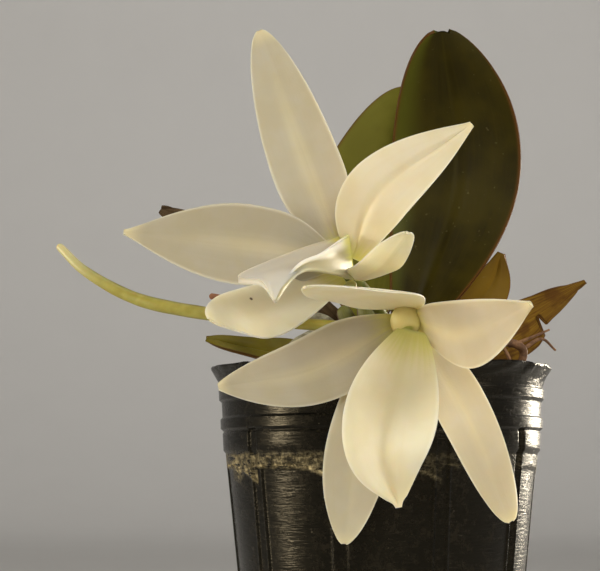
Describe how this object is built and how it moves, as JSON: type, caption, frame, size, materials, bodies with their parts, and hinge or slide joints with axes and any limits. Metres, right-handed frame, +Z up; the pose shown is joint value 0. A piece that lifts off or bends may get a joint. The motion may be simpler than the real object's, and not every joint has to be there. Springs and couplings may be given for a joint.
{
  "type": "potted aerangis orchid",
  "caption": "Small epiphytic orchid with star-shaped white spurred flowers and a fan of oval leaves, growing in bark in a round fluted plastic pot.",
  "frame": {"origin": "centre of the pot's flat base, where it rests", "axes": "+Z up along the pot's axis, -Y towards the viewer, so the flowers lean to -Y, +X to the viewer's right"},
  "size_m": [0.0919, 0.0982, 0.1238],
  "materials": {
    "pot": "glossy black, finely rippled",
    "medium": "rough bark chips",
    "stem": "satin green with dry brown sheath edges",
    "root": "matt grey-green, redder at the tip",
    "leaf": "satin olive green, bronze towards the edge",
    "yellow_leaf": "dull yellow-brown",
    "dry_leaf": "matt brown",
    "tepal": "satin ivory white",
    "lip": "satin ivory white, greenish at the throat",
    "column": "satin pale yellow-green",
    "spur": "satin yellow-green, whitish at the tip",
    "stalk": "satin green"
  },
  "bodies": {
    "root": {"upper_column": "column", "upper_lip": "lip", "upper_left_petal": "tepal", "upper_right_petal": "tepal", "upper_dorsal_sepal": "tepal", "upper_left_sepal": "tepal", "upper_right_sepal": "tepal", "upper_spur": "spur", "lower_column": "column", "lower_lip": "lip", "lower_left_petal": "tepal", "lower_right_petal": "tepal", "lower_dorsal_sepal": "tepal", "lower_left_sepal": "tepal", "lower_right_sepal": "tepal", "lower_spur": "spur", "flower_stalk": "stalk", "stem": "stem", "leaf_tall": "leaf", "leaf_second": "leaf", "leaf_small_right": "yellow_leaf", "leaf_folded_right": "yellow_leaf", "leaf_low_left": "leaf", "leaf_old_left": "dry_leaf", "root_left": "root", "root_front": "root", "root_back": "root", "root_right": "root", "pot": "pot", "growing_medium": "medium"}
  },
  "joints": []
}
